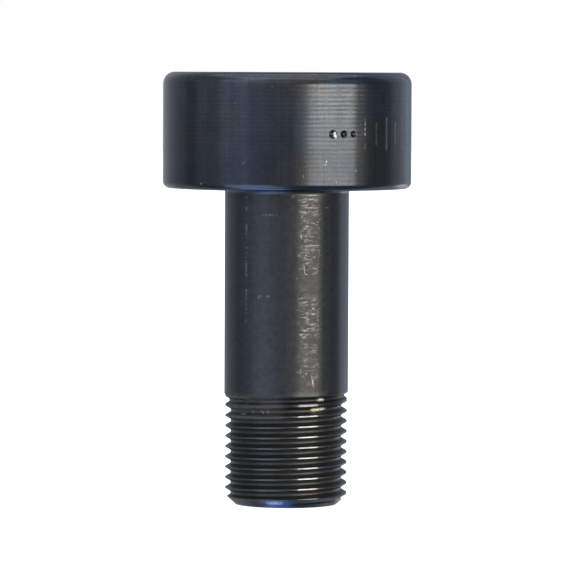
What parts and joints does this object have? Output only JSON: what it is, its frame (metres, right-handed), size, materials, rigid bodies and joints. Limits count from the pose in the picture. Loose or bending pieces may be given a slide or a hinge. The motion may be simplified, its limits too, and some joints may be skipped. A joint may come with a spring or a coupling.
{
  "type": "cam follower",
  "caption": "Stud-type cam follower: a thick roller on caged needle rollers turns about a threaded stud, with a flanged head, hex socket and grease fitting.",
  "frame": {"origin": "where the stud's axis meets the mounting face, the flat outer face of the end plate under the roller", "axes": "+Z along the stud's axis from the thread to the head; the roller's punched marks lie between -Y and +X"},
  "size_m": [0.0381, 0.038, 0.0663],
  "materials": {
    "stud_steel": "hardened steel, blue-black oxide, ground shank with light wear",
    "roller_steel": "hardened steel, blue-black oxide over fine turning marks",
    "plate_steel": "turned steel, blue-black oxide",
    "seal_polymer": "moulded dark polymer",
    "cage_steel": "stamped and tumbled steel",
    "needle_steel": "ground and polished bearing steel",
    "fitting_steel": "turned steel, zinc plated",
    "spring_steel": "drawn spring wire"
  },
  "bodies": {
    "stud": {"stud": "stud_steel", "end_plate": "plate_steel", "grease_fitting_body": "fitting_steel", "grease_fitting_spring": "spring_steel"},
    "roller": {"outer_ring": "roller_steel", "head_seal": "seal_polymer", "plate_seal": "seal_polymer"},
    "cage": {"needle_cage": "cage_steel"},
    "roller_needle_01": {"needle_01": "needle_steel"},
    "roller_needle_02": {"needle_02": "needle_steel"},
    "roller_needle_03": {"needle_03": "needle_steel"},
    "roller_needle_04": {"needle_04": "needle_steel"},
    "roller_needle_05": {"needle_05": "needle_steel"},
    "roller_needle_06": {"needle_06": "needle_steel"},
    "roller_needle_07": {"needle_07": "needle_steel"},
    "roller_needle_08": {"needle_08": "needle_steel"},
    "roller_needle_09": {"needle_09": "needle_steel"},
    "roller_needle_10": {"needle_10": "needle_steel"},
    "roller_needle_11": {"needle_11": "needle_steel"},
    "roller_needle_12": {"needle_12": "needle_steel"},
    "roller_needle_13": {"needle_13": "needle_steel"},
    "roller_needle_14": {"needle_14": "needle_steel"},
    "roller_needle_15": {"needle_15": "needle_steel"},
    "roller_needle_16": {"needle_16": "needle_steel"},
    "roller_needle_17": {"needle_17": "needle_steel"},
    "roller_needle_18": {"needle_18": "needle_steel"},
    "check_ball": {"grease_fitting_ball": "needle_steel"}
  },
  "joints": [
    {"name": "roller_spin", "type": "hinge", "parent": "stud", "child": "roller", "pos_m": [0, 0, 0.00904], "axis": [0, 0, 1], "continuous": true},
    {"name": "cage_orbit", "type": "hinge", "parent": "stud", "child": "cage", "pos_m": [0, 0, 0.00904], "axis": [0, 0, 1], "continuous": true},
    {"name": "needle_01_spin", "type": "hinge", "parent": "cage", "child": "roller_needle_01", "pos_m": [0.01215, 0, 0.00904], "axis": [0, 0, 1], "continuous": true},
    {"name": "needle_02_spin", "type": "hinge", "parent": "cage", "child": "roller_needle_02", "pos_m": [0.01142, 0.00416, 0.00904], "axis": [0, 0, 1], "continuous": true},
    {"name": "needle_03_spin", "type": "hinge", "parent": "cage", "child": "roller_needle_03", "pos_m": [0.00931, 0.00781, 0.00904], "axis": [0, 0, 1], "continuous": true},
    {"name": "needle_04_spin", "type": "hinge", "parent": "cage", "child": "roller_needle_04", "pos_m": [0.00607, 0.01052, 0.00904], "axis": [0, 0, 1], "continuous": true},
    {"name": "needle_05_spin", "type": "hinge", "parent": "cage", "child": "roller_needle_05", "pos_m": [0.00211, 0.01197, 0.00904], "axis": [0, 0, 1], "continuous": true},
    {"name": "needle_06_spin", "type": "hinge", "parent": "cage", "child": "roller_needle_06", "pos_m": [-0.00211, 0.01197, 0.00904], "axis": [0, 0, 1], "continuous": true},
    {"name": "needle_07_spin", "type": "hinge", "parent": "cage", "child": "roller_needle_07", "pos_m": [-0.00607, 0.01052, 0.00904], "axis": [0, 0, 1], "continuous": true},
    {"name": "needle_08_spin", "type": "hinge", "parent": "cage", "child": "roller_needle_08", "pos_m": [-0.00931, 0.00781, 0.00904], "axis": [0, 0, 1], "continuous": true},
    {"name": "needle_09_spin", "type": "hinge", "parent": "cage", "child": "roller_needle_09", "pos_m": [-0.01142, 0.00416, 0.00904], "axis": [0, 0, 1], "continuous": true},
    {"name": "needle_10_spin", "type": "hinge", "parent": "cage", "child": "roller_needle_10", "pos_m": [-0.01215, 0, 0.00904], "axis": [0, 0, 1], "continuous": true},
    {"name": "needle_11_spin", "type": "hinge", "parent": "cage", "child": "roller_needle_11", "pos_m": [-0.01142, -0.00416, 0.00904], "axis": [0, 0, 1], "continuous": true},
    {"name": "needle_12_spin", "type": "hinge", "parent": "cage", "child": "roller_needle_12", "pos_m": [-0.00931, -0.00781, 0.00904], "axis": [0, 0, 1], "continuous": true},
    {"name": "needle_13_spin", "type": "hinge", "parent": "cage", "child": "roller_needle_13", "pos_m": [-0.00607, -0.01052, 0.00904], "axis": [0, 0, 1], "continuous": true},
    {"name": "needle_14_spin", "type": "hinge", "parent": "cage", "child": "roller_needle_14", "pos_m": [-0.00211, -0.01197, 0.00904], "axis": [0, 0, 1], "continuous": true},
    {"name": "needle_15_spin", "type": "hinge", "parent": "cage", "child": "roller_needle_15", "pos_m": [0.00211, -0.01197, 0.00904], "axis": [0, 0, 1], "continuous": true},
    {"name": "needle_16_spin", "type": "hinge", "parent": "cage", "child": "roller_needle_16", "pos_m": [0.00607, -0.01052, 0.00904], "axis": [0, 0, 1], "continuous": true},
    {"name": "needle_17_spin", "type": "hinge", "parent": "cage", "child": "roller_needle_17", "pos_m": [0.00931, -0.00781, 0.00904], "axis": [0, 0, 1], "continuous": true},
    {"name": "needle_18_spin", "type": "hinge", "parent": "cage", "child": "roller_needle_18", "pos_m": [0.01142, -0.00416, 0.00904], "axis": [0, 0, 1], "continuous": true},
    {"name": "check_ball_slide", "type": "slide", "parent": "stud", "child": "check_ball", "axis": [0, 0, -1], "range_m": [0, 0.0004], "stiffness_N_per_m": 100, "springref_m": -0.0002, "deforming": ["grease_fitting_spring"]}
  ],
  "couplings": [
    {"joint": "cage_orbit", "follows": "roller_spin", "ratio": 0.55144},
    {"joint": "needle_01_spin", "follows": "roller_spin", "ratio": 4.8086},
    {"joint": "needle_02_spin", "follows": "roller_spin", "ratio": 4.8086},
    {"joint": "needle_03_spin", "follows": "roller_spin", "ratio": 4.8086},
    {"joint": "needle_04_spin", "follows": "roller_spin", "ratio": 4.8086},
    {"joint": "needle_05_spin", "follows": "roller_spin", "ratio": 4.8086},
    {"joint": "needle_06_spin", "follows": "roller_spin", "ratio": 4.8086},
    {"joint": "needle_07_spin", "follows": "roller_spin", "ratio": 4.8086},
    {"joint": "needle_08_spin", "follows": "roller_spin", "ratio": 4.8086},
    {"joint": "needle_09_spin", "follows": "roller_spin", "ratio": 4.8086},
    {"joint": "needle_10_spin", "follows": "roller_spin", "ratio": 4.8086},
    {"joint": "needle_11_spin", "follows": "roller_spin", "ratio": 4.8086},
    {"joint": "needle_12_spin", "follows": "roller_spin", "ratio": 4.8086},
    {"joint": "needle_13_spin", "follows": "roller_spin", "ratio": 4.8086},
    {"joint": "needle_14_spin", "follows": "roller_spin", "ratio": 4.8086},
    {"joint": "needle_15_spin", "follows": "roller_spin", "ratio": 4.8086},
    {"joint": "needle_16_spin", "follows": "roller_spin", "ratio": 4.8086},
    {"joint": "needle_17_spin", "follows": "roller_spin", "ratio": 4.8086},
    {"joint": "needle_18_spin", "follows": "roller_spin", "ratio": 4.8086}
  ]
}
